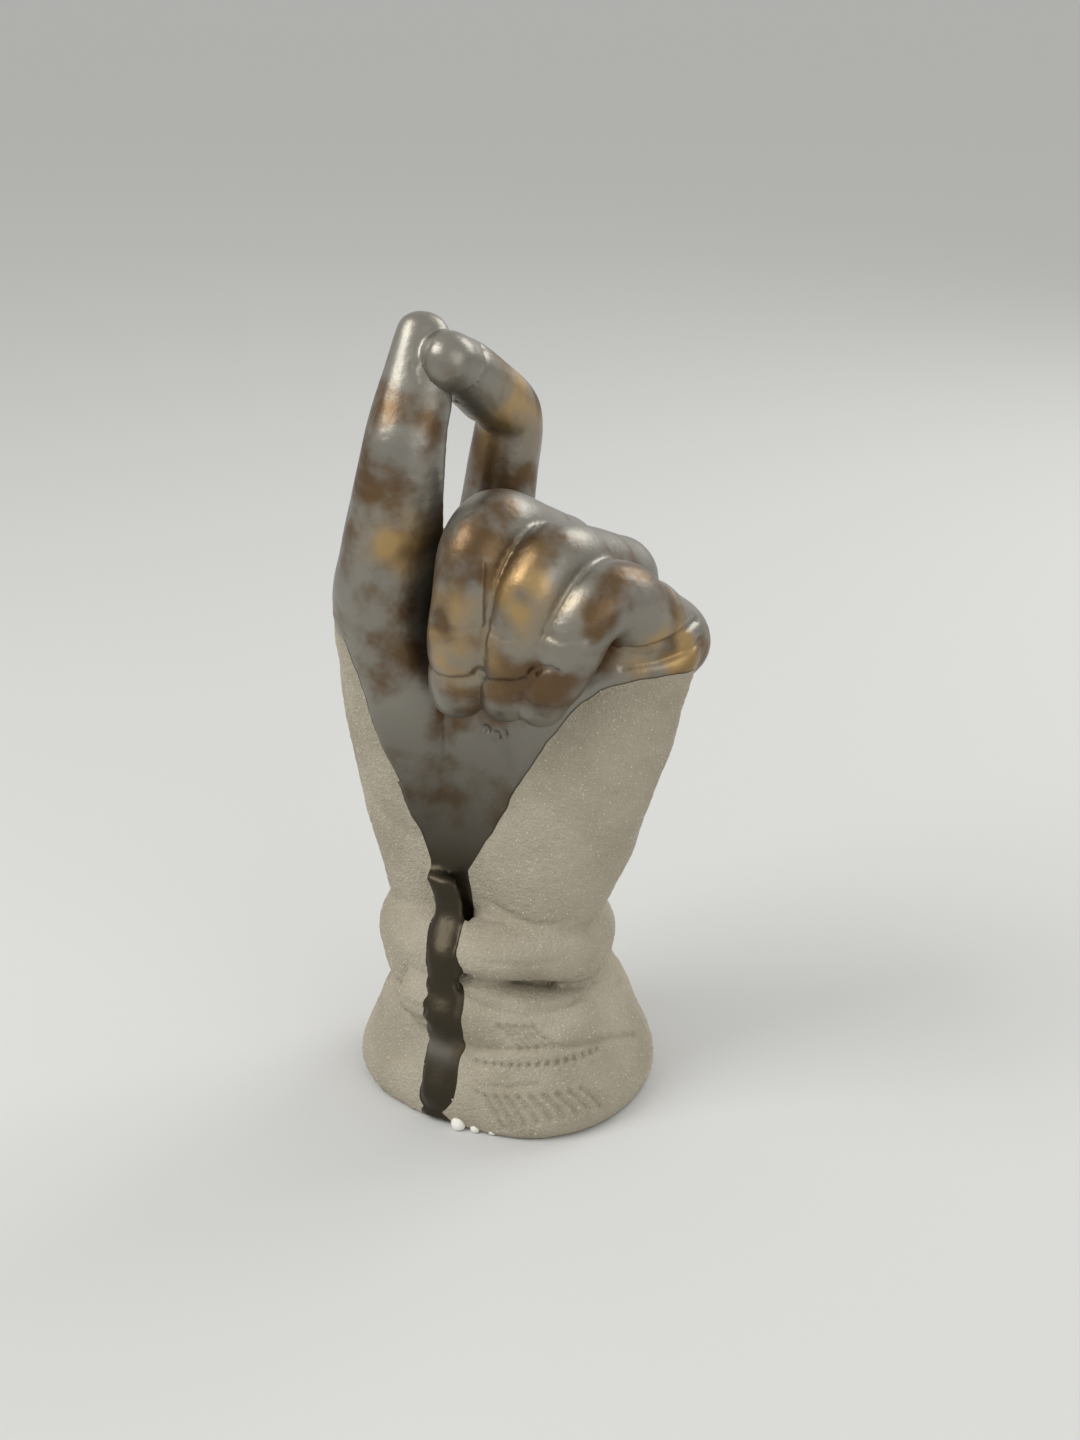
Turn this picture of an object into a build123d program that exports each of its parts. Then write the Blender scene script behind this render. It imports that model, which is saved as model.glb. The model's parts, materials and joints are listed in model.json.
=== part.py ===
from build123d import *
import os
from math import cos, pi, radians, sin, sqrt, tan

# A life-size ceramic left hand. Thumb and forefinger pinch, the other three fingers fold on the palm,
# two strips of clay wrap the wrist above a spreading foot, and a metallic glaze poured over the
# fingers runs down to the foot.
# +Z is up, the palm faces -Y, the little finger is on the +X side, and the origin is the middle of
# the foot's underside.

# Palm and wrist
palm_breadth = 92.0
palm_thickness = 33.0
knuckle_height = 134.0
wrist_base = 8.0
palm_breadth_shares = (0.42, 0.42, 0.42, 0.45, 0.56, 0.65, 0.73, 0.795, 0.85, 0.905, 0.95, 0.98, 1.0, 0.97, 0.66)
palm_thickness_shares = (0.91, 0.91, 0.91, 0.94, 1.04, 1.04, 1.02, 1.0, 0.99, 0.98, 0.98, 0.99, 0.98, 0.93, 0.62)
palm_side_shares = (-0.033, -0.033, -0.033, -0.033, -0.033, -0.027, -0.022, -0.02, -0.016, -0.012, -0.005,
                    0.004, 0.016, 0.028, 0.05)
palm_back_shares = (0, 0, 0, 0, 0, 0, 0, 0, 0, 0, 0, 0, 0.015, 0.06, 0.17)
palm_lean = 4.0
palm_lean_from_share = 0.55
palm_outline_shares = ((1, 0), (0.87, 0.55), (0.5, 0.9), (0, 1), (-0.5, 0.93), (-0.87, 0.58),
                       (-1, 0), (-0.88, -0.62), (-0.5, -0.98), (0, -0.9), (0.5, -0.98), (0.88, -0.6))

# Mound at the root of the thumb
mound_radius = 14.0
mound_lower_run = 24.0
mound_upper_run = 36.0
mound_root_shares = (-0.16, -0.06, 0.455)
mound_lower_shares = (-0.25, -0.22, 0.94)
mound_upper_shares = (-0.06, -0.2, 0.98)
mound_radius_shares = (0.8, 1.0, 0.96)

# Fingers: bone lengths from the knuckle, and the radius of the flesh at the middle joint
index_proximal = 39.0
index_middle = 23.5
index_distal = 11.5
index_radius = 8.0
middle_proximal = 45.0
middle_middle = 29.0
middle_distal = 17.0
middle_radius = 8.6
ring_proximal = 42.5
ring_middle = 24.0
ring_distal = 16.0
ring_radius = 8.2
little_proximal = 37.0
little_middle = 21.0
little_distal = 13.0
little_radius = 8.8
joint_radius_shares = (1.18, 1.0, 0.92, 0.8)
finger_flat_shares = (1.0, 0.96, 0.94, 0.92)
bend_share = 1.05
limb_step_share = 0.66
index_root_shares = (-0.105, 0.3, 0.97)
index_way_shares = ((0.15, 0.03, 0.99), (-0.04, -0.82, 0.55), (0.03, -0.88, 0.45))
middle_root_shares = (0.09, 0.36, 1.0)
middle_way_shares = ((-0.02, -0.88, 0.47), (-0.13, -0.09, -0.99), (-0.24, 0.38, -0.9))
ring_root_shares = (0.255, 0.36, 0.98)
ring_way_shares = ((-0.04, -0.91, 0.41), (-0.24, -0.08, -0.96), (-0.32, 0.36, -0.87))
little_root_shares = (0.415, 0.21, 0.89)
little_way_shares = ((-0.14, -0.8, 0.62), (-0.36, -0.16, -0.92), (-0.5, 0.3, -0.81))

# Thumb, whose last bone reaches the forefinger's tip
thumb_proximal = 37.5
thumb_radius = 9.2
thumb_root_shares = (-0.24, -0.48, 0.86)
thumb_knuckle_shares = (-0.235, -0.6, 0.97)
thumb_way_shares = (0.21, -0.13, 0.97)
thumb_radius_shares = (1.36, 1.34, 0.97, 0.55)
thumb_flat_shares = (1.0, 1.0, 1.0, 1.2)
pinch_shares = (-0.85, 0.25, 0.45)
pinch_press = 2.5

# Foot
foot_breadth = 75.0
foot_depth = 70.0
foot_height = 26.0
foot_width_shares = (0.965, 1.0, 0.98, 0.93, 0.88, 0.84, 0.77)
foot_outline_shares = ((1, 0), (0.87, 0.5), (0.5, 0.87), (0, 1), (-0.5, 0.87), (-0.87, 0.5),
                       (-1, 0), (-0.88, -0.52), (-0.47, -0.87), (0.08, -0.98), (0.6, -0.9), (0.94, -0.47))

# Wrapped strips of clay: centre line across, from back to front and above the table, and half sizes
lower_wrap_breadth = 48.0
lower_wrap_depth = 42.0
lower_wrap_height = 25.0
lower_wrap_thickness = 21.0
lower_wrap_width = 20.0
lower_wrap_start = -112.0
lower_wrap_turn = 280.0
lower_wrap_rise_shares = (0.25, 0.12, -0.08, -0.25, -0.32, -0.3, -0.22, -0.15, -0.15, -0.15, -0.15)
lower_wrap_swell_shares = (0.86, 0.96, 1.0, 1.05, 1.05, 1.0, 0.98, 0.9, 0.8, 0.7, 0.6)
upper_wrap_breadth = 42.0
upper_wrap_depth = 38.0
upper_wrap_height = 39.0
upper_wrap_thickness = 18.0
upper_wrap_width = 20.0
upper_wrap_start = -85.0
upper_wrap_turn = 350.0
upper_wrap_rise_shares = (0.22, 0.17, 0.08, -0.03, -0.06, -0.08, -0.08, -0.09, -0.1, -0.11, -0.12, -0.1, -0.12)
upper_wrap_swell_shares = (0.65, 0.75, 0.9, 1.05, 1.05, 1.05, 1.1, 1.15, 1.2, 1.3, 1.32, 1.2, 1.25)

# Glaze
glaze_thickness = 0.8
pour_left_shares = ((-0.52, 0.925), (-0.4, 0.925), (-0.29, 0.885), (-0.265, 0.79), (-0.22, 0.68),
                    (-0.185, 0.59), (-0.185, 0.5), (-0.15, 0.44), (-0.12, 0.385))
pour_right_shares = ((-0.01, 0.385), (-0.01, 0.47), (0.035, 0.545), (0.1, 0.635), (0.17, 0.715), (0.24, 0.785),
                     (0.33, 0.845), (0.45, 0.87), (0.6, 0.87))
dip_line_shares = ((0.6, 0.87), (0.36, 0.84), (0.1, 0.81), (-0.16, 0.86), (-0.36, 0.89), (-0.52, 0.925))
run_width = 8.6
run_thickness = 3.2
run_top = 60.0
run_end = 1.0
run_sections = 11
run_foot_share = 0.96
run_side_shares = (-1.0, -0.78, -0.6, -0.45, -0.35, -0.3, -0.33, -0.38, -0.42, -0.45)
run_swell_shares = (1.25, 1.05, 0.98, 0.95, 1.0, 1.05, 1.05, 1.0, 0.95, 0.85)

# Kiln grit stuck along the front of the foot
grit_radius = 1.5
grit_count = 5
grit_start = -86.0
grit_step = 7.0
grit_reach_share = 0.97
grit_lift_share = 0.6
grit_size_shares = (1.2, 0.8, 1.0, 0.7, 0.9)

overrun = 30.0
dome_shares = (0.45, 0.75, 0.93)
circle_shares = tuple((cos(2 * pi * turn / 8), sin(2 * pi * turn / 8)) for turn in range(8))


def between(shares, place):
    """The value at a place from 0 to 1 along evenly spaced shares."""
    step = min(int(place * (len(shares) - 1)), len(shares) - 2)
    part = place * (len(shares) - 1) - step
    return shares[step] * (1 - part) + shares[step + 1] * part


def ring(plane, half_breadth, half_depth, outline_shares=circle_shares):
    """A smooth closed outline on a plane, from the shares of its half sizes."""
    with BuildSketch(plane) as section:
        with BuildLine():
            Spline(*[(x * half_breadth, y * half_depth) for x, y in outline_shares], periodic=True)
        make_face()
    return section.sketch.face()


def bone_line(root, directions, lengths):
    """The joints of a finger, from its root on along each bone."""
    joints = [root]
    for direction, length in zip(directions, lengths):
        joints.append(joints[-1] + Vector(*direction).normalized() * length)
    return joints


def bend_radii(joints, radii):
    """The radius of the bent centre line at each inner joint, kept within the bones beside it."""
    bends = []
    for before, joint, after, radius in zip(joints, joints[1:], joints[2:], radii[1:]):
        half_turn = radians((joint - before).get_angle(after - joint) / 2)
        shorter = min((joint - before).length, (after - joint).length)
        bends.append(min(radius * bend_share, 0.6 * shorter / tan(half_turn)))
    return bends


def limb(joints, radii, flats):
    """Flesh round a bent bone line: even ovals along it, drawn in to a round end at the tip and the root."""
    with BuildLine() as bones:
        FilletPolyline(*joints, radius=bend_radii(joints, radii))
    path = bones.wires()[0]
    side = (joints[1] - joints[0]).cross(joints[2] - joints[1]).normalized()
    runs = [(end - start).length for start, end in zip(joints, joints[1:])]
    places = [sum(runs[:index]) / sum(runs) for index in range(len(joints))]

    def size_at(place, values):
        for index in range(len(runs)):
            if place <= places[index + 1]:
                part = (place - places[index]) / (places[index + 1] - places[index])
                return values[index] * (1 - part) + values[index + 1] * part
        return values[-1]

    def section(centre, along, radius, flat):
        across = side - along * along.dot(side)
        return ring(Plane(origin=centre, x_dir=across, z_dir=along), radius, radius * flat)

    root, root_way, root_radius = path @ 0, path % 0, radii[0]
    tip, tip_way, tip_radius = path @ 1, path % 1, radii[-1]
    sections = [Vertex(*(root - root_way * root_radius))]
    for share in reversed(dome_shares):
        drawn = root_radius * sqrt(1 - share**2)
        sections.append(section(root - root_way * root_radius * share, root_way, drawn, flats[0]))
    count = round(path.length / (min(radii[:-1]) * limb_step_share))
    for index in range(count + 1):
        place = index / count
        sections.append(section(path @ place, path % place, size_at(place, radii), size_at(place, flats)))
    for share in dome_shares:
        drawn = tip_radius * sqrt(1 - share**2)
        sections.append(section(tip + tip_way * tip_radius * share, tip_way, drawn, flats[-1]))
    sections.append(Vertex(*(tip + tip_way * tip_radius)))
    loft(sections=sections)


def on_palm(shares):
    """A point given as shares of the palm's breadth and thickness and of the knuckles' height."""
    return Vector(shares[0] * palm_breadth, shares[1] * palm_thickness, shares[2] * knuckle_height)


def palm_body(growth):
    """The palm, the wrist below it and the mound of the thumb, with the skin moved out by growth."""
    levels = len(palm_breadth_shares)
    sections = []
    for level in range(levels):
        place = level / (levels - 1)
        lean = radians(palm_lean) * max(0, place - palm_lean_from_share) / (1 - palm_lean_from_share)
        height = wrist_base + (knuckle_height + growth - wrist_base) * place
        centre = (palm_side_shares[level] * palm_breadth, palm_back_shares[level] * palm_thickness, height)
        plane = Plane(origin=centre, x_dir=(cos(lean), 0, -sin(lean)), z_dir=(sin(lean), 0, cos(lean)))
        half_breadth = palm_breadth / 2 * palm_breadth_shares[level] + growth
        half_thickness = palm_thickness / 2 * palm_thickness_shares[level] + growth
        sections.append(ring(plane, half_breadth, half_thickness, palm_outline_shares))
    loft(sections=sections)
    runs = (mound_lower_run, mound_upper_run)
    joints = bone_line(on_palm(mound_root_shares), (mound_lower_shares, mound_upper_shares), runs)
    radii = [mound_radius * share + growth for share in mound_radius_shares]
    limb(joints, radii, (1, 1, 1))


def wrap(size, start, turn, rise_shares, swell_shares):
    """A strip of clay laid round the wrist: even ovals in upright planes, seen from above anticlockwise."""
    breadth, depth, height, thickness, width = size
    side = palm_side_shares[0] * palm_breadth
    sections = []
    for index in range(len(rise_shares)):
        angle = radians(start + turn * index / (len(rise_shares) - 1))
        centre = (side + breadth / 2 * cos(angle), depth / 2 * sin(angle), height + width * rise_shares[index])
        plane = Plane(origin=centre, x_dir=(cos(angle), sin(angle), 0), z_dir=(sin(angle), -cos(angle), 0))
        half_width = width / 2 * swell_shares[index]
        sections.append(ring(plane, thickness / 2, half_width))
    loft(sections=sections)


def front_of_oval(height, centre, half_thickness, half_width, reach):
    """How far an upright oval stands forward at a height."""
    rise = (height - centre) / half_width
    return reach + half_thickness * sqrt(max(0, 1 - rise**2))


def front_at(height):
    """How far the palm, the wraps and the foot stand forward at a height, whichever stands out most."""
    place = (height - wrist_base) / (knuckle_height - wrist_base)
    fronts = [palm_thickness / 2 * between(palm_thickness_shares, max(0, place))]
    upper_centre = upper_wrap_height + upper_wrap_width * upper_wrap_rise_shares[-1]
    upper_half = upper_wrap_width / 2 * upper_wrap_swell_shares[-1]
    fronts.append(front_of_oval(height, upper_centre, upper_wrap_thickness / 2, upper_half, upper_wrap_depth / 2))
    lower_centre = lower_wrap_height + lower_wrap_width * lower_wrap_rise_shares[1]
    lower_half = lower_wrap_width / 2 * lower_wrap_swell_shares[1]
    fronts.append(front_of_oval(height, lower_centre, lower_wrap_thickness / 2, lower_half, lower_wrap_depth / 2))
    if height < foot_height:
        fronts.append(foot_depth / 2 * run_foot_share * between(foot_width_shares, height / foot_height))
    return max(fronts)


def pour_sketch(left_shares, right_shares):
    """The outline of the glaze seen from the front: two flowing edges, closed above the knuckles."""
    left = [(x * palm_breadth, y * knuckle_height) for x, y in left_shares]
    right = [(x * palm_breadth, y * knuckle_height) for x, y in right_shares]
    top = knuckle_height + overrun
    with BuildSketch() as outline:
        with BuildLine():
            Spline(*left)
            Line(left[-1], right[0])
            Spline(*right)
            Polyline(right[-1], (right[-1][0], top), (left[0][0], top), left[0])
        make_face()
    return outline.sketch


os.makedirs("parts", exist_ok=True)

# Each form is made whole, and each piece is its form less the forms that it is pressed against
with BuildPart() as palm:
    palm_body(0)

# Forefinger, which rises from its knuckle and bends over to the thumb
index_joints = bone_line(on_palm(index_root_shares), index_way_shares, (index_proximal, index_middle, index_distal))
with BuildPart() as index_form:
    limb(index_joints, [index_radius * share for share in joint_radius_shares], finger_flat_shares)

# Thumb, pressed against the forefinger's tip
thumb_tip_radius = thumb_radius * thumb_radius_shares[-1]
pinch_reach = index_radius * joint_radius_shares[-1] + thumb_tip_radius - pinch_press
thumb_knuckle = on_palm(thumb_knuckle_shares)
thumb_joint = thumb_knuckle + Vector(*thumb_way_shares).normalized() * thumb_proximal
thumb_tip = index_joints[-1] + Vector(*pinch_shares).normalized() * pinch_reach
thumb_joints = (on_palm(thumb_root_shares), thumb_knuckle, thumb_joint, thumb_tip)
with BuildPart() as thumb_form:
    limb(thumb_joints, [thumb_radius * share for share in thumb_radius_shares], thumb_flat_shares)

# Folded fingers
with BuildPart() as middle_form:
    middle_joints = bone_line(
        on_palm(middle_root_shares), middle_way_shares, (middle_proximal, middle_middle, middle_distal)
    )
    limb(middle_joints, [middle_radius * share for share in joint_radius_shares], finger_flat_shares)
with BuildPart() as ring_form:
    ring_joints = bone_line(on_palm(ring_root_shares), ring_way_shares, (ring_proximal, ring_middle, ring_distal))
    limb(ring_joints, [ring_radius * share for share in joint_radius_shares], finger_flat_shares)
with BuildPart() as little_form:
    little_joints = bone_line(
        on_palm(little_root_shares), little_way_shares, (little_proximal, little_middle, little_distal)
    )
    limb(little_joints, [little_radius * share for share in joint_radius_shares], finger_flat_shares)

# Wrapped strips and foot
with BuildPart() as upper_wrap_form:
    wrap((upper_wrap_breadth, upper_wrap_depth, upper_wrap_height, upper_wrap_thickness, upper_wrap_width),
         upper_wrap_start, upper_wrap_turn, upper_wrap_rise_shares, upper_wrap_swell_shares)
with BuildPart() as lower_wrap_form:
    wrap((lower_wrap_breadth, lower_wrap_depth, lower_wrap_height, lower_wrap_thickness, lower_wrap_width),
         lower_wrap_start, lower_wrap_turn, lower_wrap_rise_shares, lower_wrap_swell_shares)
with BuildPart() as foot_form:
    levels = []
    for level, share in enumerate(foot_width_shares):
        plane = Plane.XY.offset(foot_height * level / (len(foot_width_shares) - 1))
        levels.append(ring(plane, foot_breadth / 2 * share, foot_depth / 2 * share, foot_outline_shares))
    loft(sections=levels)

# Glaze: the palm's own skin moved out, and a run down the wraps and the foot
with BuildPart() as skin_form:
    palm_body(glaze_thickness)
    add(palm.part, mode=Mode.SUBTRACT)
with BuildPart() as pour_prism:
    with BuildSketch(Plane.XZ):
        add(pour_sketch(pour_left_shares, pour_right_shares))
    extrude(amount=palm_thickness + overrun)
with BuildPart() as dip_prism:
    with BuildSketch(Plane.XZ):
        with BuildLine():
            dip_line = [(x * palm_breadth, y * knuckle_height) for x, y in dip_line_shares]
            Spline(*dip_line)
            Polyline(
                dip_line[-1],
                (dip_line[-1][0], knuckle_height + overrun),
                (dip_line[0][0], knuckle_height + overrun),
                dip_line[0],
            )
        make_face()
    extrude(amount=-palm_thickness - overrun)
with BuildPart() as pour_form:
    add(skin_form.part)
    add(pour_prism.part, mode=Mode.INTERSECT)
with BuildPart() as dip_form:
    add(skin_form.part)
    add(dip_prism.part, mode=Mode.INTERSECT)
with BuildPart() as run_form:
    sections = []
    for index in range(run_sections):
        place = index / (run_sections - 1)
        height = run_top + (run_end - run_top) * place
        centre = (run_width * between(run_side_shares, place), -front_at(height), height)
        half_width = run_width / 2 * between(run_swell_shares, place)
        sections.append(ring(Plane(origin=centre, z_dir=(0, 0, -1)), half_width, run_thickness / 2))
    loft(sections=sections)

# Grit, in grains that grow and shrink along the row
with BuildPart() as grit_form:
    for index in range(grit_count):
        angle = radians(grit_start + grit_step * index)
        radius = grit_radius * between(grit_size_shares, index / (grit_count - 1))
        across = foot_breadth / 2 * grit_reach_share * cos(angle)
        forward = foot_depth / 2 * grit_reach_share * sin(angle)
        with Locations((across, forward, radius * grit_lift_share)):
            Sphere(radius)
    split(bisect_by=Plane.XY, keep=Keep.TOP)

base_forms = (palm, upper_wrap_form, lower_wrap_form, foot_form)
hand_forms = (index_form, thumb_form, middle_form, ring_form, little_form)
seats = (
    ("palm", palm, ()),
    ("index_finger", index_form, (palm,)),
    ("thumb", thumb_form, (palm, index_form)),
    ("middle_finger", middle_form, (palm, index_form, thumb_form)),
    ("ring_finger", ring_form, (palm, middle_form)),
    ("little_finger", little_form, (palm, ring_form)),
    ("upper_wrap", upper_wrap_form, (palm,)),
    ("lower_wrap", lower_wrap_form, (upper_wrap_form, palm)),
    ("foot", foot_form, (palm, upper_wrap_form, lower_wrap_form)),
    ("palm_glaze", pour_form, hand_forms),
    ("back_glaze", dip_form, hand_forms),
    ("glaze_run", run_form, (*base_forms, pour_form)),
    ("kiln_grit", grit_form, (foot_form,)),
)
for name, form, neighbours in seats:
    with BuildPart() as piece:
        add(form.part)
        for neighbour in neighbours:
            add(neighbour.part, mode=Mode.SUBTRACT)
    piece.part.label = name
    export_step(piece.part, f"parts/{name}.step")
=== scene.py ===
"""Looks for a glazed ceramic hand: the modelled clay becomes one soft skin, split again into its pieces,
with nail folds, wrinkles and pressed marks worked into it, grog grains in the raw clay, and a plain stage."""

import json
from math import cos, radians, sin

import bmesh
import bpy
import numpy as np
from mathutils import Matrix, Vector, noise
from mathutils.bvhtree import BVHTree

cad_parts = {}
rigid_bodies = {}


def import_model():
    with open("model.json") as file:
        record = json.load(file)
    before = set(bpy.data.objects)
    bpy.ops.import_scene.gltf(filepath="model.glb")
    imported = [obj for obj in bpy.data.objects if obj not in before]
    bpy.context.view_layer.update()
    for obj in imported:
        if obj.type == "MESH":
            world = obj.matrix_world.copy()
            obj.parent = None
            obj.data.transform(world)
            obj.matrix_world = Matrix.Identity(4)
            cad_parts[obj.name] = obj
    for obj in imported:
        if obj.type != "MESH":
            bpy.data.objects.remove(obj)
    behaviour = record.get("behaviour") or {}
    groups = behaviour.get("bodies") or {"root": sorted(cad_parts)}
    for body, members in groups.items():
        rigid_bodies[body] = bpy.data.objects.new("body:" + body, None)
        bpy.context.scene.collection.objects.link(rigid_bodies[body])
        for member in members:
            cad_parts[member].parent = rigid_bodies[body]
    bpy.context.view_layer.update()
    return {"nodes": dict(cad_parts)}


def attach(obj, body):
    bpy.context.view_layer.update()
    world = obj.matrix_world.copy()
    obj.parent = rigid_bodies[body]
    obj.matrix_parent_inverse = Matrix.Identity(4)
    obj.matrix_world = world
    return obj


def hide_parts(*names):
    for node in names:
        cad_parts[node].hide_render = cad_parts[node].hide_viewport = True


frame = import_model()

bl_info = {
    "name": "Ceramic hand",
    "version": (1, 0, 0),
    "blender": (4, 5, 0),
    "location": "View3D > Sidebar > Ceramic hand",
    "description": "Builds the looks of a glazed ceramic hand on its CAD frame",
    "category": "Object",
}

# Sizes and places are in millimetres. The settings, the materials, the floor and the lights are in metres.
MM = 0.001
RAW_NODES = ("palm", "upper_wrap", "lower_wrap", "foot")
GLAZED_NODES = (
    "palm_glaze", "back_glaze", "thumb", "index_finger",
    "middle_finger", "ring_finger", "little_finger", "glaze_run",
)

# The glaze reaches this far past the glazed nodes, fades over the blend, and wavers by the drift
GLAZE_EDGE = 0.85
GLAZE_BLEND = 1.6
GLAZE_DRIFT = 0.3
GLAZE_DRIFT_SCALE = 260
# Where the palm's glaze narrows to the run: half width and place across, heights, and spread with height
NECK_HALF = 4.6
NECK_ASIDE = -7.6
NECK_DRIFT = 0.13
NECK_HEIGHT = 61.0
NECK_SPREAD = 0.45
NECK_FROM = 47.0
NECK_TO = 84.0
# The glaze's left edge on the palm and the thumb's root, as heights and places across
LEFT_EDGE_HEIGHTS = (84, 93, 103, 113, 121, 123)
LEFT_EDGE_PLACES = (-17.8, -21.5, -24, -25.5, -28, -48)
# The run takes faces up to this much nearer to another node, and its upper end sinks into the palm's glaze
RUN_CLAIM = 0.3
RUN_SINK = 2.4
RUN_SINK_FROM = 48.5
RUN_SINK_LENGTH = 8.0
# The glaze darkens downwards, less on the back, and is paler in a band over the join of wraps and foot; the
# darkening is partly the glaze run's real dark brown low down, partly painted shade on the front of the palm
# below the folded fingers
DARK_BELOW = 62.0
DARK_FADE = 45.0
DARK_BACK = 0.3
PALE_BAND = 19.0
PALE_BAND_REACH = 3.0
PALE_BAND_SHARE = 0.7
# Gold bloom in the glaze: places and reach, and how strong and how broken up it is
GOLD_PLACES = (
    ((4, -38, 128), 10), ((45, -6, 121), 9), ((22, -36, 140), 8), ((0, 2, 172), 9), ((-12, -30, 146), 7),
)
GOLD_STRENGTH = 0.75
GOLD_BREAK = 1.6
GOLD_BREAK_SCALE = 170
GOLD_MOST = 0.9

# Unevenness of the clay in broad lumps and in fine sand, and how much of it the glaze fills
LUMP = 0.3
LUMP_FILLED = 0.1
LUMP_SCALE = 90
SAND = 0.2
SAND_FILLED = 0.17
SAND_SCALE = 700
GRIT_LUMP = 0.3
GRIT_SAND = 0.1
SOFTEN_PULL = 0.5

# Marks in the clay: points along the mark, depth (less than zero is raised) and half width
HAND_MARKS = (
    # nail folds of the folded fingers
    (((-7, -30, 121), (-1, -32, 117.5), (5.5, -30, 121)), 1.0, 1.5),
    (((7.5, -30, 121.5), (12, -31, 118), (17, -29, 122)), 1.0, 1.5),
    (((20, -27, 124), (23, -28, 122), (27, -26, 124)), 0.9, 1.0),
    # full fingertips, a fuller forefinger and thumb where they face each other, and the thumb's knuckle
    (((-1, -31, 113), (-1, -31, 111)), -1.1, 5.0),
    (((12, -30, 114), (12, -30, 112)), -1.1, 4.5),
    (((23, -27, 118), (23, -27, 117)), -0.8, 4.5),
    (((-8, -20, 181), (-9, -21, 178)), -1.6, 5.0),
    (((-5, -14, 175), (-4, -6, 171)), -1.1, 5.0),
    (((-7, -24, 172), (-6, -24, 155), (-6, -20, 140)), -1.3, 6.0),
    (((-34, -18, 129), (-34, -18, 126)), -1.0, 6.0),
    # wrinkles over the joints of the folded fingers
    (((-3, -37, 132), (3, -39, 131), (9, -36, 132)), 0.35, 0.8),
    (((-2, -37, 129), (3, -39, 128), (8, -36, 129)), 0.3, 0.7),
    (((12, -35, 131), (17, -37, 130), (22, -34, 131)), 0.35, 0.8),
    (((25, -31, 131), (29, -32, 130), (33, -28, 131)), 0.35, 0.8),
    # forefinger: last joint and edge of the nail
    (((-1, -11, 187), (-3, -15, 183), (-5, -13, 178)), 0.5, 0.8),
    (((-7, -24, 191), (-9, -26, 186), (-10, -24, 182)), 0.3, 0.7),
    # thumb: joint wrinkles and the edge of its nail
    (((-22, -30, 163), (-14, -34, 162), (-8, -30, 163)), 0.25, 1.0),
    (((-21, -30, 159), (-14, -34, 158), (-8, -30, 159)), 0.2, 0.9),
    (((-19, -24, 187), (-17, -26, 180), (-17, -28, 172)), 0.3, 0.7),
    # skin folds at the outer side of the fist
    (((36, -14, 123), (42, -11, 124), (47, -3, 126), (48, 4, 127)), 0.8, 0.9),
    (((36, -14, 119), (43, -10, 120), (47.5, -3, 121.5), (48, 4, 122)), 0.7, 0.9),
    # raised seam between the middle and the ring finger
    (((13, -37, 147), (12.5, -37, 138), (12, -35, 128)), -0.4, 0.6),
    # bubbled pits, and the hollow of the palm under the folded fingers
    (((1.5, -18, 98.5), (1.7, -18, 98.3)), 1.4, 0.9),
    (((4.2, -18, 97.5), (4.4, -18, 97.4)), 1.2, 0.8),
    (((6.5, -18, 98.6), (6.6, -18, 98.5)), 0.9, 0.6),
    (((3.0, -18, 95.8), (3.1, -18, 95.7)), 0.8, 0.6),
    (((4, -17, 93), (6, -17, 86), (2, -17, 76)), 1.3, 4.5),
    # crease of the wrist
    (((3, -19, 53.4), (15, -16, 50.2), (22.6, -9.5, 50.6)), 0.6, 0.9),
    # knuckles and tendons on the back
    (((-9, 18, 126), (-9.5, 18, 122)), -1.8, 6.5),
    (((8, 20, 128), (8, 20, 124)), -2.0, 7.0),
    (((23, 19, 126), (23, 19, 122)), -1.9, 7.0),
    (((36, 15, 119), (36, 15, 115)), -1.7, 6.5),
    (((-8, 18, 120), (-5, 17, 90), (-4, 16, 66)), -0.5, 2.2),
    (((8, 19, 122), (3, 17, 90), (0, 16, 66)), -0.5, 2.2),
    (((22, 18, 119), (11, 17, 90), (4, 16, 66)), -0.45, 2.2),
)
WRAP_MARKS = (
    # lower edges of the upper wrap's two lobes, and of the lower wrap
    (((1, -29, 37), (10, -28, 34.5), (18, -24, 32.5), (24, -14, 31.5), (26, -2, 32)), 0.9, 1.0),
    (((-31, -5, 24), (-24, -20, 24.5), (-14, -28, 25), (-6, -31, 26)), 0.9, 1.0),
    (((5.6, -31, 20.8), (19.7, -24, 21.4), (29.9, -10.2, 18.8), (32.7, 2.3, 13.9)), 0.9, 0.8),
    # creases across the lobes
    (((-24, -18, 33), (-14, -27, 30), (-6, -30, 29)), 0.4, 0.9),
    (((8, -31, 44), (18, -25, 42), (24, -16, 42)), 0.35, 1.0),
)
FOOT_MARKS = (
    # line above the low hatching, dot beside it, and groove near the floor
    (((8.5, -32, 12.3), (14.5, -29.5, 12.2), (20.1, -25.8, 12.7)), 0.6, 0.6),
    (((7.3, -32.5, 10.4), (7.6, -32.5, 10.3)), 0.7, 0.6),
    (((12, -31, 3.2), (22, -26, 3.0), (30, -17, 3.2)), 0.3, 0.5),
)
# Rows of short marks round the foot and the wraps, with angles in degrees, laid on the clay from this far out
ROW_RADIUS = 34
STITCHES = {
    "count": 15, "from": -80, "to": -24, "height": 18.6, "fall": 0.2, "slant": 0, "depth": 1.1, "width": 0.6,
}
LOW_HATCH = {
    "count": 9, "from": -74, "to": -36, "height": 10.2, "fall": 6.8, "slant": 9, "depth": 1.0, "width": 0.55,
}
HIGH_HATCH = {
    "count": 5, "from": -68, "to": -52, "height": 29.0, "fall": 6.2, "slant": 8, "depth": 1.0, "width": 0.55,
}

# Joins smeared smooth: knuckles, root of the thumb and the run's top, as places and reach
MELT_PLACES = (
    ((-9, 13, 125), 9), ((8, 15, 127), 9), ((23, 15, 125), 9), ((37, 10, 117), 10),
    ((-22, -16, 112), 10), ((-10, -14, 122), 6), ((-7.5, -19, 58), 7),
)
MELT_ROUNDS = 60
MELT_PULL = 0.6

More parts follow.
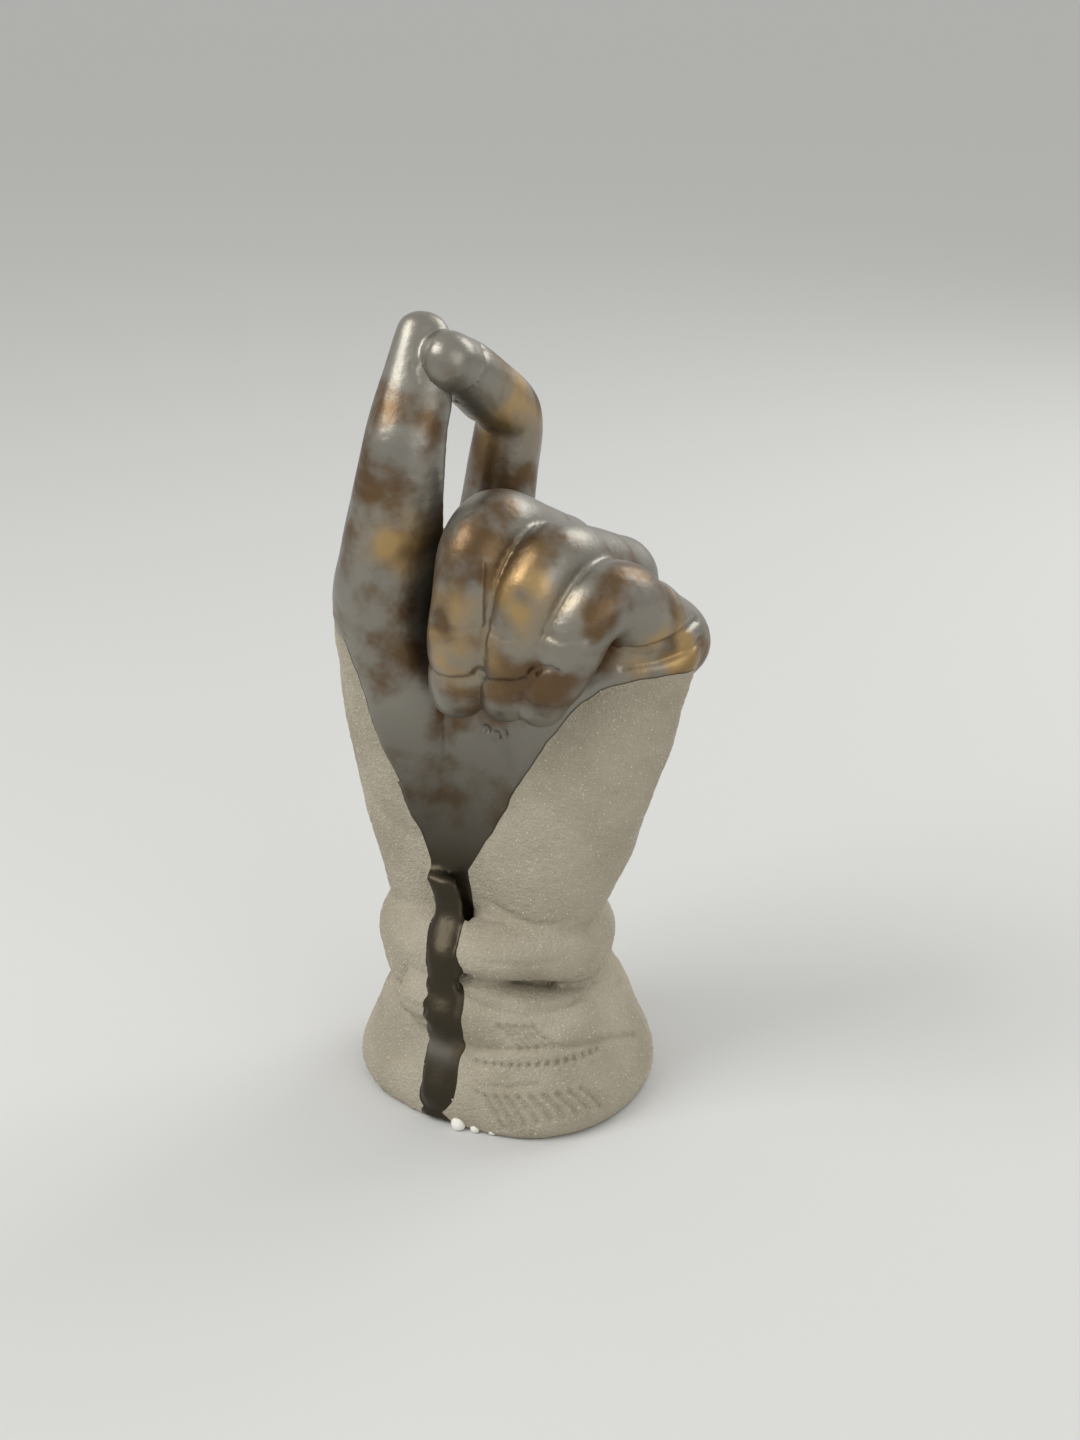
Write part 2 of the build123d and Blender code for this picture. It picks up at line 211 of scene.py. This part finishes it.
# Grog grains stay above this height, and their radii spread by these shares
GRAINS_FROM = 1.0
GRAIN_SIZES = (0.5, 1.4)
GRAIN_ROUGHNESS = 0.35
GRIT_ROUGHNESS = 0.7

# Scales of the patterns in the clay and the glaze
CLAY_MOTTLE_SCALE = 60
CLAY_SPECK_SCALE = 2600
CLAY_SAND_SCALE = 1500
CLAY_ROUGHNESS = 0.85
GLAZE_CLOUD_SCALE = 45
GLAZE_RIPPLE_SCALE = 350
GLAZE_METAL = 0.8
GLAZE_ROUGHNESS = 0.36

FLOOR_SIZE = 200
FLOOR_HEIGHT = -0.0002
FLOOR_ROUGHNESS = 0.8
WORLD_COLOUR = (0.8, 0.8, 0.79, 1)
WORLD_STRENGTH = 0.85
# Each light's name, place, size and energy, and the place that they face
LIGHTS = (
    ("key", (-0.45, -0.5, 0.75), 0.5, 4.5),
    ("fill", (0.7, -0.4, 0.35), 0.6, 1.2),
    ("rim", (0.3, 0.7, 0.6), 0.5, 2.5),
)
LIT_PLACE = (0, 0, 0.1)
CAMERA_AZIMUTH = 25
CAMERA_ELEVATION = 22
CAMERA_DISTANCE = 507
CAMERA_TARGET = 95
CAMERA_ASIDE = 8
CAMERA_LENS = 52.3


def length_setting(name, description, default):
    return bpy.props.FloatProperty(
        name=name, description=description, default=default, unit="LENGTH", precision=6
    )


def colour_setting(name, description, default):
    return bpy.props.FloatVectorProperty(
        name=name, description=description, default=(*default, 1), size=4, subtype="COLOR", min=0, max=1
    )


class HandSizes(bpy.types.PropertyGroup):
    """Sizes that a user may set before building"""

    skin_grain: length_setting("Skin grain", "Size of a face of the hand's skin", 0.0006)
    soften: bpy.props.IntProperty(
        name="Soften", description="Rounds of smoothing that melt the joins of the clay", default=5
    )
    grog_density: bpy.props.FloatProperty(
        name="Grog density", description="Grog grains on a square metre of raw clay", default=110000
    )
    grog_radius: length_setting("Grog radius", "Radius of a middling grog grain", 0.00017)
    grit_grain: length_setting("Grit grain", "Size of a face of the kiln grit", 0.000204)
    seed: bpy.props.IntProperty(name="Seed", description="Seed of the scattered grains", default=7)


class HandColours(bpy.types.PropertyGroup):
    """Colours that a user may set before building"""

    clay: colour_setting("Clay", "Raw clay", (0.41, 0.365, 0.28))
    dark_clay: colour_setting("Dark clay", "Mottling of the raw clay", (0.33, 0.29, 0.215))
    pewter: colour_setting("Pewter", "Glaze on the broad faces", (0.25, 0.235, 0.2))
    brown: colour_setting("Brown", "Mottling of the glaze", (0.13, 0.08, 0.04))
    gold: colour_setting("Gold", "Bloom in the glaze", (0.42, 0.28, 0.12))
    # Dark brown of the glaze run and its thin edge, also used as painted shade on the front of the palm below
    # the folded fingers
    run_brown_and_painted_shade: colour_setting("Run brown", "Glaze low down and at its edge", (0.045, 0.036, 0.022))
    grain: colour_setting("Grain", "Grog grains and the clay's specks", (0.62, 0.57, 0.46))
    grit: colour_setting("Grit", "Kiln grit at the foot", (0.78, 0.76, 0.7))
    floor: colour_setting("Floor", "The stage's floor", (0.6, 0.6, 0.585))


def in_metres(point):
    return Vector(point) * MM


def joined(nodes, grain, rounds):
    """One closed, softened skin over some CAD nodes."""
    gathered = bmesh.new()
    for node in nodes:
        first = len(gathered.verts)
        gathered.from_mesh(frame["nodes"][node].data)
        if node == "glaze_run":
            sink_top(gathered, first)
    rough = bpy.data.meshes.new("rough")
    gathered.to_mesh(rough)
    gathered.free()
    host = bpy.data.objects.new("rough", rough)
    bpy.context.scene.collection.objects.link(host)
    remesh = host.modifiers.new("remesh", "REMESH")
    remesh.mode = "VOXEL"
    remesh.voxel_size = grain
    smooth = host.modifiers.new("smooth", "SMOOTH")
    smooth.factor = SOFTEN_PULL
    smooth.iterations = rounds
    skin = baked(host)
    bpy.data.objects.remove(host)
    return skin


def sink_top(gathered, first):
    """Lets the run's upper end sink into the palm's glaze."""
    gathered.verts.ensure_lookup_table()
    for vertex in gathered.verts[first:]:
        share = (vertex.co.z / MM - RUN_SINK_FROM) / RUN_SINK_LENGTH
        vertex.co.y += RUN_SINK * MM * min(1, max(0, share))


def baked(host):
    """The object's mesh with its modifiers applied."""
    host.update_tag()
    bpy.context.view_layer.update()
    return bpy.data.meshes.new_from_object(host.evaluated_get(bpy.context.evaluated_depsgraph_get()))


def points_of(mesh):
    points = np.zeros(len(mesh.vertices) * 3)
    mesh.vertices.foreach_get("co", points)
    return points.reshape(-1, 3)


def normals_of(mesh):
    normals = np.zeros(len(mesh.vertices) * 3)
    mesh.vertex_normals.foreach_get("vector", normals)
    return normals.reshape(-1, 3)


def distance_to(node, points):
    """How far each point is from a CAD node's surface."""
    tree = tree_of(frame["nodes"][node].data)
    return np.array([tree.find_nearest(point)[3] for point in points.tolist()])


def tree_of(mesh):
    shape = bmesh.new()
    shape.from_mesh(mesh)
    tree = BVHTree.FromBMesh(shape)
    shape.free()
    return tree


def noise_at(points, scale):
    return np.array([noise.noise(Vector(point) * scale) for point in points.tolist()])


def bloom(points, places):
    """How near each point is to any of some places, from 1 at a place down to 0 well beyond its reach."""
    near = np.zeros(len(points))
    for place, reach in places:
        away = ((points - np.array(in_metres(place))) ** 2).sum(1)
        near = np.maximum(near, np.exp(-away / (reach * MM) ** 2))
    return near


def mark_offset(tree, points, line, depth, width):
    """How far each point moves outwards for a mark whose line is laid on the surface."""
    corners = [in_metres(corner) for corner in line]
    nearest = np.full(len(points), np.inf)
    for start, end in zip(corners, corners[1:]):
        steps = max(1, round((end - start).length / (width * MM / 2)))
        for step in range(steps + 1):
            place = tree.find_nearest(start.lerp(end, step / steps))[0]
            nearest = np.minimum(nearest, ((points - np.array(place)) ** 2).sum(1))
    return -depth * MM * np.exp(-nearest / (width * MM) ** 2)


def row_of_marks(row):
    """Short marks set in a row round the foot, each slanting and falling by the same amount."""
    marks = []
    for index in range(row["count"]):
        angle = radians(row["from"] + (row["to"] - row["from"]) * index / (row["count"] - 1))
        low = angle + radians(row["slant"])
        top = (ROW_RADIUS * cos(angle), ROW_RADIUS * sin(angle), row["height"])
        bottom = (ROW_RADIUS * cos(low), ROW_RADIUS * sin(low), row["height"] - row["fall"])
        marks.append(((top, bottom), row["depth"], row["width"]))
    return marks


def melt(mesh):
    """Smooths the skin round the melted places, as a thumb smears clay."""
    points = points_of(mesh)
    ends = np.zeros(len(mesh.edges) * 2, int)
    mesh.edges.foreach_get("vertices", ends)
    first, second = ends.reshape(-1, 2).T
    neighbours = np.bincount(ends, minlength=len(points))
    weight = bloom(points, MELT_PLACES)
    for _ in range(MELT_ROUNDS):
        for axis in range(3):
            value = points[:, axis]
            total = np.bincount(first, value[second], len(points))
            total += np.bincount(second, value[first], len(points))
            points[:, axis] += MELT_PULL * weight * (total / neighbours - value)
    mesh.vertices.foreach_set("co", points.ravel())
    mesh.update()


def work_surface(mesh, marks, lump, sand):
    """Presses the marks into a mesh and roughens it, with one size of lump and sand or one for each point."""
    points, normals, tree = points_of(mesh), normals_of(mesh), tree_of(mesh)
    offset = np.zeros(len(points))
    for line, depth, width in marks:
        offset += mark_offset(tree, points, line, depth, width)
    offset += lump * MM * noise_at(points, LUMP_SCALE)
    offset += sand * MM * noise_at(points, SAND_SCALE)
    points += normals * offset[:, None]
    points[:, 2] = np.maximum(points[:, 2], 0)
    mesh.vertices.foreach_set("co", points.ravel())
    mesh.update()


def glaze_on(points):
    """1 where a point of the skin is glazed, 0 where the clay is raw, and between across the glaze's edge."""
    drift = GLAZE_DRIFT * MM * noise_at(points, GLAZE_DRIFT_SCALE)
    across, deep, height = (points / MM).T

    def inside(distance):
        return np.clip(0.5 + distance / GLAZE_BLEND, 0, 1)

    from_glazed = np.min([distance_to(node, points) for node in GLAZED_NODES], axis=0)
    glaze = inside((GLAZE_EDGE * MM + drift - from_glazed) / MM)
    limit = NECK_HALF + NECK_SPREAD * np.maximum(0, height - NECK_HEIGHT)
    centre = NECK_ASIDE + NECK_DRIFT * abs(height - NECK_HEIGHT)
    neck = inside(limit - abs(across - centre) + drift / MM)
    above = (deep < 0) & (height > NECK_HEIGHT) & (height < NECK_TO)
    glaze = np.where(above, np.minimum(glaze, neck), glaze)
    glaze = np.where((deep < 0) & (height > NECK_FROM) & (height <= NECK_HEIGHT), neck, glaze)
    beside = inside(across - np.interp(height, LEFT_EDGE_HEIGHTS, LEFT_EDGE_PLACES) + drift / MM)
    edged = (deep < 0) & (height >= NECK_TO) & (height < LEFT_EDGE_HEIGHTS[-1])
    return np.where(edged, np.minimum(glaze, beside), glaze)


def darkness_of(points):
    """How far the glaze is darkened: partly the run's real dark brown low down, partly painted shade on the
    front of the palm below the folded fingers.
    """
    height = points[:, 2] / MM
    dark = np.clip(1 - (height - DARK_BELOW) / DARK_FADE, 0, 1) * np.where(points[:, 1] < 0, 1, DARK_BACK)
    return dark * (1 - PALE_BAND_SHARE * np.exp(-(((height - PALE_BAND) / PALE_BAND_REACH) ** 2)))


def gold_in(points):
    """How golden the glaze is, in patches that a noise breaks up."""
    broken = GOLD_STRENGTH + GOLD_BREAK * noise_at(points, GOLD_BREAK_SCALE)
    return np.clip(bloom(points, GOLD_PLACES) * broken, 0, GOLD_MOST)


def add_values(mesh, **values):
    for name, value in values.items():
        attribute = mesh.attributes.new(name, "FLOAT", "POINT")
        attribute.data.foreach_set("value", np.asarray(value, np.float32))


def show(name, mesh, material, nodes=()):
    """Puts a finished mesh in the scene as a piece on the CAD body."""
    piece = bpy.data.objects.new(name, mesh)
    bpy.context.scene.collection.objects.link(piece)
    mesh.materials.clear()
    mesh.materials.append(material)
    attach(piece, "root")
    if nodes:
        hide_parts(*nodes)


def split_skin(mesh, nodes, values, material):
    """Shares the skin's faces out to the nearest CAD node. The pieces keep its normals, so no join shows."""
    points, normals = points_of(mesh), normals_of(mesh)
    corners = np.zeros(len(mesh.loops), int)
    mesh.loops.foreach_get("vertex_index", corners)
    faces = corners.reshape(-1, 4)
    centres = points[faces].mean(1)
    distances = [distance_to(node, centres) for node in nodes]
    distances[nodes.index("glaze_run")] -= RUN_CLAIM * MM
    owner = np.argmin(distances, axis=0)
    for index, node in enumerate(nodes):
        used, renumbered = np.unique(faces[owner == index], return_inverse=True)
        piece = bpy.data.meshes.new(f"{node}_skin")
        piece.from_pydata(points[used].tolist(), [], renumbered.reshape(-1, 4).tolist())
        piece.shade_smooth()
        piece.normals_split_custom_set_from_vertices(normals[used].tolist())
        add_values(piece, **{name: value[used] for name, value in values.items()})
        show(f"{node}_skin", piece, material, (node,))


def new_material(name):
    material = bpy.data.materials.new(name)
    material.use_nodes = True
    tree = material.node_tree
    return material, tree, tree.nodes["Principled BSDF"]


def plain_material(name, colour, roughness):
    material, _, shader = new_material(name)
    shader.inputs["Base Color"].default_value = colour
    shader.inputs["Roughness"].default_value = roughness
    return material


def noise_node(tree, scale, detail):
    coordinates = tree.nodes.new("ShaderNodeTexCoord")
    pattern = tree.nodes.new("ShaderNodeTexNoise")
    pattern.inputs["Scale"].default_value = scale
    pattern.inputs["Detail"].default_value = detail
    tree.links.new(coordinates.outputs["Object"], pattern.inputs["Vector"])
    return pattern.outputs["Fac"]


def ramp(tree, value, low, high):
    """The value spread so that low gives 0 and high gives 1."""
    spread = tree.nodes.new("ShaderNodeMapRange")
    spread.interpolation_type = "SMOOTHSTEP"
    spread.inputs["From Min"].default_value = low
    spread.inputs["From Max"].default_value = high
    tree.links.new(value, spread.inputs["Value"])
    return spread.outputs["Result"]


def mixed(tree, factor, low, high):
    """Two colours, or the outputs that give them, mixed by a factor."""
    mix = tree.nodes.new("ShaderNodeMix")
    mix.data_type = "RGBA"
    tree.links.new(factor, mix.inputs["Factor"])
    for socket, value in ((mix.inputs[6], low), (mix.inputs[7], high)):
        if isinstance(value, bpy.types.NodeSocket):
            tree.links.new(value, socket)
        else:
            socket.default_value = value
    return mix.outputs[2]


def value_of(tree, name):
    attribute = tree.nodes.new("ShaderNodeAttribute")
    attribute.attribute_name = name
    return attribute.outputs["Fac"]


def bump(tree, height, distance, strength):
    node = tree.nodes.new("ShaderNodeBump")
    node.inputs["Distance"].default_value = distance
    node.inputs["Strength"].default_value = strength
    tree.links.new(height, node.inputs["Height"])
    return node.outputs["Normal"]


def clay_shader(tree, shader, colours):
    """Raw, sandy clay."""
    mottle = ramp(tree, noise_node(tree, CLAY_MOTTLE_SCALE, detail=4), low=0.35, high=0.7)
    colour = mixed(tree, mottle, colours.clay, colours.dark_clay)
    specks = ramp(tree, noise_node(tree, CLAY_SPECK_SCALE, detail=2), low=0.6, high=0.75)
    tree.links.new(mixed(tree, specks, colour, colours.grain), shader.inputs["Base Color"])
    shader.inputs["Roughness"].default_value = CLAY_ROUGHNESS
    sand = bump(tree, noise_node(tree, CLAY_SAND_SCALE, detail=4), distance=0.0007, strength=0.9)
    tree.links.new(sand, shader.inputs["Normal"])


def glaze_shader(tree, shader, colours):
    """Satin metallic glaze: pewter on the broad faces, brown where it pooled or ran thin, gold in patches,
    and darkened low down by the run's real brown and by painted shade on the front of the palm.
    """
    cloud = ramp(tree, noise_node(tree, GLAZE_CLOUD_SCALE, detail=5), low=0.47, high=0.6)
    colour = mixed(tree, cloud, colours.pewter, colours.brown)
    colour = mixed(tree, value_of(tree, "gold"), colour, colours.gold)
    # Darkening: the glaze run's real dark brown low down, and painted shade on the front of the palm below
    # the folded fingers
    colour = mixed(tree, value_of(tree, "dark"), colour, colours.run_brown_and_painted_shade)
    rim = ramp(tree, value_of(tree, "glaze"), low=0.85, high=0.5)
    tree.links.new(mixed(tree, rim, colour, colours.run_brown_and_painted_shade), shader.inputs["Base Color"])
    shader.inputs["Metallic"].default_value = GLAZE_METAL
    shader.inputs["Roughness"].default_value = GLAZE_ROUGHNESS
    ripple = bump(tree, noise_node(tree, GLAZE_RIPPLE_SCALE, detail=5), distance=0.0005, strength=0.35)
    tree.links.new(ripple, shader.inputs["Normal"])


def hand_material(colours):
    """Glaze where the skin was glazed and raw clay elsewhere, by the skin's own attribute."""
    material, tree, glaze = new_material("glazed_and_raw_clay")
    glaze_shader(tree, glaze, colours)
    clay = tree.nodes.new("ShaderNodeBsdfPrincipled")
    clay_shader(tree, clay, colours)
    mix = tree.nodes.new("ShaderNodeMixShader")
    tree.links.new(ramp(tree, value_of(tree, "glaze"), low=0.45, high=0.55), mix.inputs[0])
    tree.links.new(clay.outputs[0], mix.inputs[1])
    tree.links.new(glaze.outputs[0], mix.inputs[2])
    tree.links.new(mix.outputs[0], tree.nodes["Material Output"].inputs["Surface"])
    return material


def grog_tree():
    """Geometry nodes that scatter small grains over a mesh, thickest where its raw attribute is 1."""
    tree = bpy.data.node_groups.new("grog_grains", "GeometryNodeTree")
    for name, kind in (
        ("Geometry", "Geometry"),
        ("Density", "Float"),
        ("Radius", "Float"),
        ("Seed", "Int"),
        ("Material", "Material"),
    ):
        tree.interface.new_socket(name=name, in_out="INPUT", socket_type=f"NodeSocket{kind}")
    tree.interface.new_socket(name="Geometry", in_out="OUTPUT", socket_type="NodeSocketGeometry")
    new, link = tree.nodes.new, tree.links.new
    entry, end = new("NodeGroupInput"), new("NodeGroupOutput")
    raw = new("GeometryNodeInputNamedAttribute")
    raw.data_type = "FLOAT"
    raw.inputs["Name"].default_value = "raw"
    share = new("ShaderNodeMath")
    share.operation = "MULTIPLY"
    scatter = new("GeometryNodeDistributePointsOnFaces")
    grain = new("GeometryNodeMeshIcoSphere")
    grain.inputs["Subdivisions"].default_value = 1
    size = new("FunctionNodeRandomValue")
    size.data_type = "FLOAT"
    size.inputs[2].default_value, size.inputs[3].default_value = GRAIN_SIZES
    place = new("GeometryNodeInstanceOnPoints")
    solid = new("GeometryNodeRealizeInstances")
    finish = new("GeometryNodeSetMaterial")
    link(raw.outputs[0], share.inputs[0])
    link(entry.outputs["Density"], share.inputs[1])
    link(entry.outputs["Geometry"], scatter.inputs["Mesh"])
    link(share.outputs[0], scatter.inputs["Density"])
    link(entry.outputs["Seed"], scatter.inputs["Seed"])
    link(entry.outputs["Seed"], size.inputs["Seed"])
    link(entry.outputs["Radius"], grain.inputs["Radius"])
    link(scatter.outputs["Points"], place.inputs["Points"])
    link(grain.outputs["Mesh"], place.inputs["Instance"])
    link(size.outputs[1], place.inputs["Scale"])
    link(place.outputs["Instances"], solid.inputs["Geometry"])
    link(solid.outputs["Geometry"], finish.inputs["Geometry"])
    link(entry.outputs["Material"], finish.inputs["Material"])
    link(finish.outputs["Geometry"], end.inputs["Geometry"])
    return tree


class HAND_OT_skin(bpy.types.Operator):
    """Builds the skin of clay and glaze, and splits it into the fingers, palm, wraps, foot, glaze and run"""

    bl_idname = "ceramic_hand.skin"
    bl_label = "Clay and glaze"

    def execute(self, context):
        sizes = context.scene.ceramic_hand_sizes
        nodes = (*RAW_NODES, *GLAZED_NODES)
        skin = joined(nodes, sizes.skin_grain, sizes.soften)
        melt(skin)
        glaze = glaze_on(points_of(skin))
        marks = [*HAND_MARKS, *WRAP_MARKS, *FOOT_MARKS]
        for row in (STITCHES, LOW_HATCH, HIGH_HATCH):
            marks += row_of_marks(row)
        work_surface(skin, marks, LUMP - LUMP_FILLED * glaze, SAND - SAND_FILLED * glaze)
        points = points_of(skin)
        values = {
            "glaze": glaze,
            "gold": gold_in(points),
            # Darkening of the glaze: the run's real dark brown, and painted shade on the front of the palm
            # below the folded fingers
            "dark": darkness_of(points),
            "raw": (1 - glaze.astype(np.float32)) * (points[:, 2] > GRAINS_FROM * MM),
        }
        split_skin(skin, nodes, values, hand_material(context.scene.ceramic_hand_colours))
        return {"FINISHED"}


class HAND_OT_grains(bpy.types.Operator):
    """Scatters pale grog grains in the raw clay"""

    bl_idname = "ceramic_hand.grains"
    bl_label = "Grog grains"

    def execute(self, context):
        sizes = context.scene.ceramic_hand_sizes
        tree = grog_tree()
        grain = plain_material("grog_grain", context.scene.ceramic_hand_colours.grain, GRAIN_ROUGHNESS)
        given = {
            "Density": sizes.grog_density,
            "Radius": sizes.grog_radius,
            "Seed": sizes.seed,
            "Material": grain,
        }
        inputs = {item.name: item.identifier for item in tree.interface.items_tree if item.in_out == "INPUT"}
        for node in RAW_NODES:
            host = bpy.data.objects.new("grain_host", bpy.data.objects[f"{node}_skin"].data.copy())
            context.scene.collection.objects.link(host)
            scatter = host.modifiers.new("grog", "NODES")
            scatter.node_group = tree
            for name, value in given.items():
                scatter[inputs[name]] = value
            mesh = baked(host)
            bpy.data.objects.remove(host)
            if not mesh.vertices:
                raise RuntimeError(f"no grains were scattered on {node}")
            show(f"{node}_skin_grog", mesh, grain)
        return {"FINISHED"}


class HAND_OT_grit(bpy.types.Operator):
    """Builds the white kiln grit at the foot's front edge"""

    bl_idname = "ceramic_hand.grit"
    bl_label = "Kiln grit"

    def execute(self, context):
        grit = joined(("kiln_grit",), context.scene.ceramic_hand_sizes.grit_grain, rounds=1)
        work_surface(grit, (), GRIT_LUMP, GRIT_SAND)
        grit.shade_smooth()
        material = plain_material("kiln_grit", context.scene.ceramic_hand_colours.grit, GRIT_ROUGHNESS)
        show("kiln_grit_grains", grit, material, ("kiln_grit",))
        return {"FINISHED"}


class HAND_OT_stage(bpy.types.Operator):
    """Sets a plain pale floor, soft studio lights and the camera"""

    bl_idname = "ceramic_hand.stage"
    bl_label = "Stage"

    def execute(self, context):
        scene = context.scene
        bpy.ops.mesh.primitive_plane_add(size=FLOOR_SIZE, location=(0, 0, FLOOR_HEIGHT))
        floor = context.object
        floor.name = "floor"
        pale = plain_material("floor", scene.ceramic_hand_colours.floor, FLOOR_ROUGHNESS)
        floor.data.materials.append(pale)
        world = bpy.data.worlds.new("studio")
        world.use_nodes = True
        world.node_tree.nodes["Background"].inputs["Color"].default_value = WORLD_COLOUR
        world.node_tree.nodes["Background"].inputs["Strength"].default_value = WORLD_STRENGTH
        scene.world = world
        for name, place, size, energy in LIGHTS:
            data = bpy.data.lights.new(name, "AREA")
            data.size = size
            data.energy = energy
            lamp = bpy.data.objects.new(name, data)
            lamp.location = place
            lamp.rotation_euler = (Vector(LIT_PLACE) - Vector(place)).to_track_quat("-Z", "Y").to_euler()
            scene.collection.objects.link(lamp)
        azimuth, elevation = radians(CAMERA_AZIMUTH), radians(CAMERA_ELEVATION)
        aim = in_metres((CAMERA_ASIDE * cos(azimuth), CAMERA_ASIDE * sin(azimuth), CAMERA_TARGET))
        away = Vector((sin(azimuth) * cos(elevation), -cos(azimuth) * cos(elevation), sin(elevation)))
        data = bpy.data.cameras.new("camera")
        data.lens = CAMERA_LENS
        camera = bpy.data.objects.new("camera", data)
        camera.location = aim + away * CAMERA_DISTANCE * MM
        camera.rotation_euler = (-away).to_track_quat("-Z", "Y").to_euler()
        scene.collection.objects.link(camera)
        scene.camera = camera
        scene.view_settings.view_transform = "Standard"
        return {"FINISHED"}


class HAND_PT_panel(bpy.types.Panel):
    """The add-on's place in the sidebar"""

    bl_label = "Ceramic hand"
    bl_idname = "HAND_PT_panel"
    bl_space_type = "VIEW_3D"
    bl_region_type = "UI"
    bl_category = "Ceramic hand"

    def draw(self, context):
        for settings in (context.scene.ceramic_hand_sizes, context.scene.ceramic_hand_colours):
            for name in type(settings).__annotations__:
                self.layout.prop(settings, name)
        for operator in (HAND_OT_skin, HAND_OT_grains, HAND_OT_grit, HAND_OT_stage):
            self.layout.operator(operator.bl_idname)


CLASSES = (HandSizes, HandColours, HAND_OT_skin, HAND_OT_grains, HAND_OT_grit, HAND_OT_stage, HAND_PT_panel)


def register():
    for cls in CLASSES:
        bpy.utils.register_class(cls)
    bpy.types.Scene.ceramic_hand_sizes = bpy.props.PointerProperty(type=HandSizes)
    bpy.types.Scene.ceramic_hand_colours = bpy.props.PointerProperty(type=HandColours)


def unregister():
    del bpy.types.Scene.ceramic_hand_colours
    del bpy.types.Scene.ceramic_hand_sizes
    for cls in reversed(CLASSES):
        bpy.utils.unregister_class(cls)


def main():
    register()
    bpy.ops.ceramic_hand.skin()
    bpy.ops.ceramic_hand.grains()
    bpy.ops.ceramic_hand.grit()
    bpy.ops.ceramic_hand.stage()


if __name__ == "__main__":
    main()
